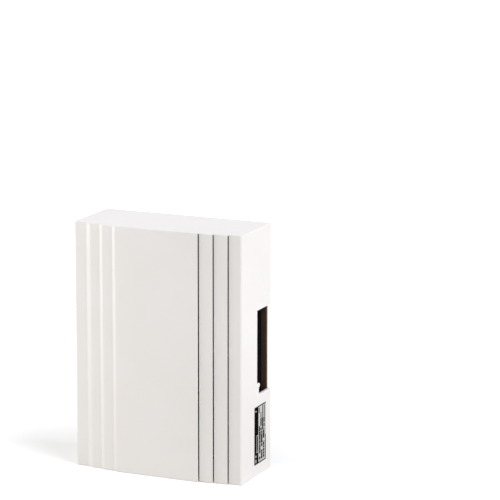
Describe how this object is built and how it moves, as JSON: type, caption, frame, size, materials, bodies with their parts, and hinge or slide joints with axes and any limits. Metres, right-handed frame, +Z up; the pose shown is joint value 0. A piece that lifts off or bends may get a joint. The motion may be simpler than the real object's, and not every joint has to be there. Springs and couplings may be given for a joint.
{
  "type": "doorbell chime box",
  "caption": "Wall-mounted two-tone door gong: stepped white cover with slots and side notches over a dark base with solenoid, plunger, return spring, tone plates and terminal block.",
  "frame": {"origin": "middle of the base plate's back face, in the plane of the wall", "axes": "+X to the right as seen from the room, +Y into the wall, +Z up; the front faces -Y"},
  "size_m": [0.097, 0.042, 0.134],
  "materials": {
    "cover_plastic": "satin moulded",
    "label_paper": "matt film",
    "base_plastic": "fine moulded grain",
    "tone_steel": "dark lacquer",
    "zinc_steel": "bright zinc plate",
    "core_steel": "turned and ground",
    "spring_steel": "drawn wire",
    "grommet_rubber": "matt",
    "bobbin_nylon": "natural",
    "striker_nylon": "natural",
    "terminal_nylon": "black moulded",
    "copper_wire": "enamelled copper",
    "coil_tape_film": "polyester tape",
    "brass": "drawn",
    "lead_insulation": "sleeved wire"
  },
  "bodies": {
    "base": {"base_plate": "base_plastic", "tone_plate_low": "tone_steel", "tone_plate_high": "tone_steel", "tone_plate_pins": "zinc_steel", "tone_plate_grommets": "grommet_rubber", "pin_retainers": "spring_steel", "solenoid_yoke": "zinc_steel", "coil_bobbin": "bobbin_nylon", "coil_winding": "copper_wire", "coil_tape": "coil_tape_film", "guide_tube": "brass", "coil_pins": "brass", "yoke_screws": "zinc_steel", "terminal_housing": "terminal_nylon", "terminal_bars": "brass", "block_screws": "zinc_steel", "coil_lead_left": "lead_insulation", "coil_lead_right": "lead_insulation"},
    "cover": {"front_cover": "cover_plastic", "rating_label": "label_paper"},
    "plunger": {"plunger_core": "core_steel", "striker_low": "striker_nylon", "striker_high": "striker_nylon", "return_spring": "spring_steel"},
    "screw_left": {"terminal_screw_left": "zinc_steel"},
    "screw_right": {"terminal_screw_right": "zinc_steel"},
    "cage_left": {"clamp_cage_left": "zinc_steel"},
    "cage_right": {"clamp_cage_right": "zinc_steel"}
  },
  "joints": [
    {"name": "cover_slide", "type": "slide", "parent": "base", "child": "cover", "axis": [0, -1, 0], "range_m": [0, 0.05]},
    {"name": "plunger_slide", "type": "slide", "parent": "base", "child": "plunger", "axis": [1, 0, 0], "range_m": [-0.0011, 0.0079], "stiffness_N_per_m": 60, "deforming": ["return_spring"]},
    {"name": "terminal_screw_left_turn", "type": "hinge", "parent": "base", "child": "screw_left", "pos_m": [0.01, -0.0144, -0.0427], "axis": [0, 1, 0], "range_deg": [0, 1183]},
    {"name": "terminal_screw_right_turn", "type": "hinge", "parent": "base", "child": "screw_right", "pos_m": [0.022, -0.0144, -0.0427], "axis": [0, 1, 0], "range_deg": [0, 1183]},
    {"name": "clamp_cage_left_slide", "type": "slide", "parent": "base", "child": "cage_left", "axis": [0, -1, 0], "range_m": [0, 0.0023]},
    {"name": "clamp_cage_right_slide", "type": "slide", "parent": "base", "child": "cage_right", "axis": [0, -1, 0], "range_m": [0, 0.0023]}
  ],
  "couplings": [
    {"joint": "terminal_screw_left_turn", "follows": "clamp_cage_left_slide", "rad_per_m": 8976},
    {"joint": "terminal_screw_right_turn", "follows": "clamp_cage_right_slide", "rad_per_m": 8976}
  ]
}
